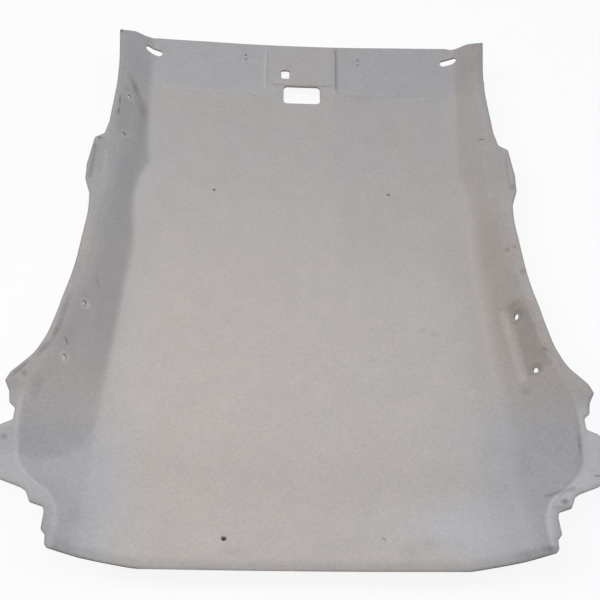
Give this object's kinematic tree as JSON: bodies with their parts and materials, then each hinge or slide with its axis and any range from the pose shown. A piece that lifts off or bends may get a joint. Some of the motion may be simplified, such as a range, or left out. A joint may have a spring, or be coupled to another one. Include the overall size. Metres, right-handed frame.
{
  "type": "car headliner panel",
  "caption": "Moulded, fabric-faced board that lines the inside of a small car's roof, with visor pockets, a lamp opening and grab handle holes.",
  "frame": {"origin": "centre of the bounding box in plan, at the lowest point of the panel's back", "axes": "+X to the right as seen from above with the windscreen edge away, +Y from the tailgate edge to the windscreen edge, +Z out of the cabin face, up as the panel lies on its back"},
  "size_m": [1.3098, 1.57, 0.1313],
  "materials": {
    "knit_fabric": "matte"
  },
  "bodies": {
    "root": {"headliner_panel": "knit_fabric"}
  },
  "joints": []
}
